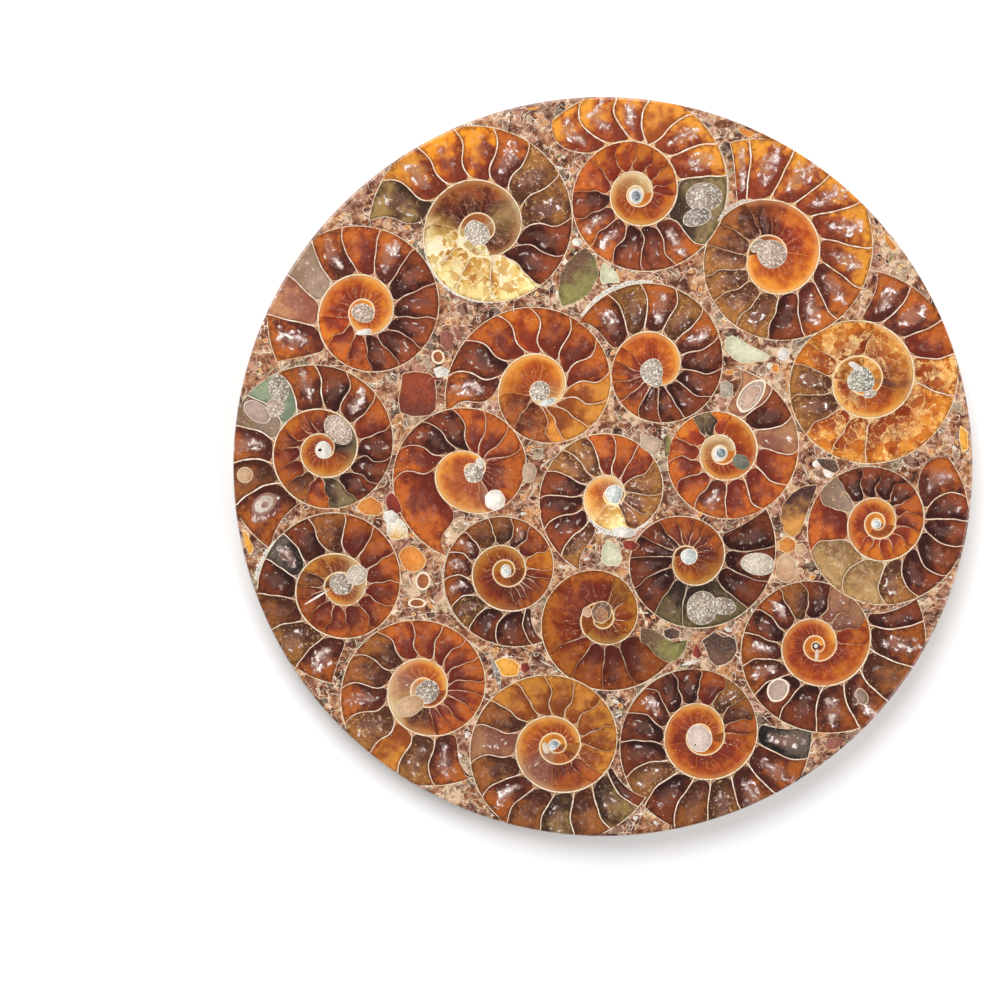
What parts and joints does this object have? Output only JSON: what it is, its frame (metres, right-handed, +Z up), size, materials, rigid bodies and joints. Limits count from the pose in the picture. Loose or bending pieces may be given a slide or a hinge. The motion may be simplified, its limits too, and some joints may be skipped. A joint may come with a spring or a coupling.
{
  "type": "ammonite fossil slice",
  "caption": "Round polished plate of sliced ammonites, each cut through its chambers, set flush in a cement of crushed fossil shell and calcite chips.",
  "frame": {"origin": "centre of the plate's flat underside, on the surface it lies on", "axes": "+Z up out of the polished face, +Y towards the top of the face as it is usually shown, +X to its right"},
  "size_m": [0.11, 0.11, 0.006],
  "materials": {
    "cement": "polished",
    "shell": "polished",
    "calcite_block": "polished",
    "pale_green_shard_1": "polished",
    "pale_green_shard_2": "polished",
    "half_whorl": "polished",
    "tan_shard": "polished",
    "yellow_shard": "polished",
    "amber_shard_1": "polished",
    "maroon_shard_1": "polished",
    "cream_shard": "polished",
    "amber_shard_2": "polished",
    "maroon_shard_2": "polished",
    "grey_shard": "polished"
  },
  "bodies": {
    "root": {"matrix": "cement", "ammonite_01": "shell", "ammonite_02": "shell", "ammonite_03": "shell", "ammonite_04": "shell", "ammonite_05": "shell", "ammonite_06": "shell", "ammonite_07": "shell", "ammonite_08": "shell", "ammonite_09": "shell", "ammonite_10": "shell", "ammonite_11": "shell", "ammonite_12": "shell", "ammonite_13": "shell", "ammonite_14": "shell", "ammonite_15": "shell", "ammonite_16": "shell", "ammonite_17": "shell", "ammonite_18": "shell", "ammonite_19": "shell", "ammonite_20": "shell", "calcite_block": "calcite_block", "pale_green_shard_1": "pale_green_shard_1", "pale_green_shard_2": "pale_green_shard_2", "half_whorl": "half_whorl", "tan_shard": "tan_shard", "yellow_shard": "yellow_shard", "amber_shard_1": "amber_shard_1", "maroon_shard_1": "maroon_shard_1", "cream_shard": "cream_shard", "amber_shard_2": "amber_shard_2", "maroon_shard_2": "maroon_shard_2", "grey_shard": "grey_shard"}
  },
  "joints": []
}
